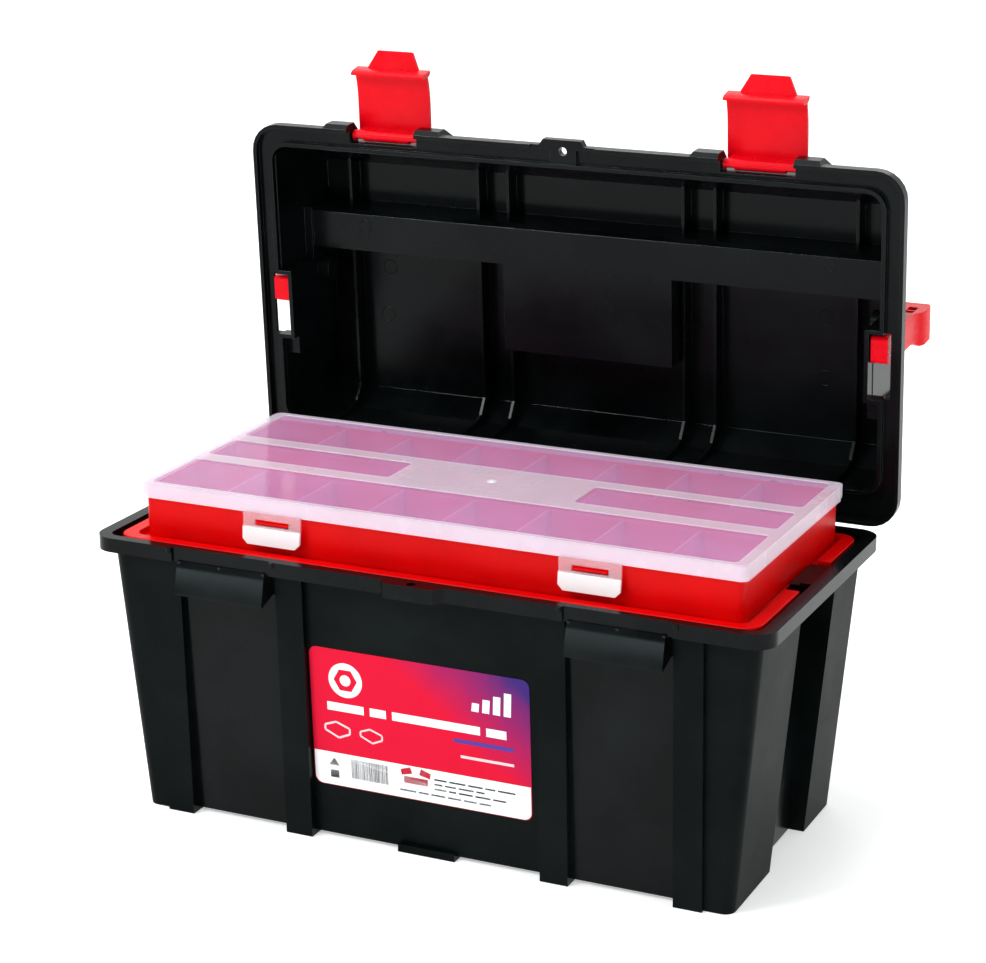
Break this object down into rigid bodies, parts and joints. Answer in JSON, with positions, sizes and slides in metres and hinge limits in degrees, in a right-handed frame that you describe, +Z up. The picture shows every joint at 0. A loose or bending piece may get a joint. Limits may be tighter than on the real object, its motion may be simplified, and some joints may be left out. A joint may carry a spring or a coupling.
{
  "type": "tool box",
  "caption": "Portable plastic tool box with hinged lid, draw latches, folding bail handle, lift-out tray and a clear-lidded divided organizer.",
  "frame": {"origin": "centre of the footprint on the floor", "axes": "+X to the right along the length, +Y to the back where the hinges are, +Z up"},
  "size_m": [0.445, 0.3181, 0.4509],
  "materials": {
    "box_black": "fine-grained black plastic",
    "label_print": "printed film",
    "pin_steel": "plain steel wire",
    "red_plastic": "glossy red plastic",
    "divider_plastic": "translucent plastic",
    "clear_plastic": "frosted clear plastic"
  },
  "bodies": {
    "box": {"box_body": "box_black", "front_label": "label_print", "hinge_pin_left": "pin_steel", "hinge_pin_right": "pin_steel"},
    "lid": {"lid_shell": "box_black", "latch_pin_left": "pin_steel", "latch_pin_right": "pin_steel"},
    "latch_left": {"latch_left": "red_plastic"},
    "latch_right": {"latch_right": "red_plastic"},
    "handle": {"carry_handle": "red_plastic"},
    "tray": {"lift_tray": "red_plastic"},
    "organizer": {"organizer_base": "red_plastic", "back_divider_1": "divider_plastic", "back_divider_2": "divider_plastic", "back_divider_3": "divider_plastic", "back_divider_4": "divider_plastic", "back_divider_5": "divider_plastic", "back_divider_6": "divider_plastic", "back_divider_7": "divider_plastic", "front_divider_1": "divider_plastic", "front_divider_2": "divider_plastic", "front_divider_3": "divider_plastic", "front_divider_4": "divider_plastic", "front_divider_5": "divider_plastic", "front_divider_6": "divider_plastic", "front_divider_7": "divider_plastic"},
    "organizer_lid": {"organizer_lid": "clear_plastic"},
    "clip_left": {"organizer_clip_left": "clear_plastic"},
    "clip_right": {"organizer_clip_right": "clear_plastic"}
  },
  "joints": [
    {"name": "lid_hinge", "type": "hinge", "parent": "box", "child": "lid", "pos_m": [0, 0.1205, 0.1715], "axis": [-1, 0, 0], "range_deg": [-86, 0]},
    {"name": "latch_left_hinge", "type": "hinge", "parent": "lid", "child": "latch_left", "pos_m": [-0.128, 0.1228, 0.39671], "axis": [-1, 0, 0], "range_deg": [-90, 0]},
    {"name": "latch_right_hinge", "type": "hinge", "parent": "lid", "child": "latch_right", "pos_m": [0.128, 0.1228, 0.39671], "axis": [-1, 0, 0], "range_deg": [-90, 0]},
    {"name": "handle_hinge", "type": "hinge", "parent": "lid", "child": "handle", "pos_m": [0, 0.16443, 0.29587], "axis": [-1, 0, 0], "range_deg": [-90, 0]},
    {"name": "tray_lift", "type": "slide", "parent": "box", "child": "tray", "axis": [0, 0, 1], "range_m": [0, 0.15]},
    {"name": "organizer_lift", "type": "slide", "parent": "tray", "child": "organizer", "axis": [0, 0, 1], "range_m": [0, 0.06]},
    {"name": "organizer_lid_hinge", "type": "hinge", "parent": "organizer", "child": "organizer_lid", "pos_m": [0, 0.095, 0.204], "axis": [-1, 0, 0], "range_deg": [0, 90]},
    {"name": "clip_left_hinge", "type": "hinge", "parent": "organizer_lid", "child": "clip_left", "pos_m": [-0.1035, -0.0842, 0.2011], "axis": [-1, 0, 0], "range_deg": [0, 60]},
    {"name": "clip_right_hinge", "type": "hinge", "parent": "organizer_lid", "child": "clip_right", "pos_m": [0.1035, -0.0842, 0.2011], "axis": [-1, 0, 0], "range_deg": [0, 60]}
  ]
}
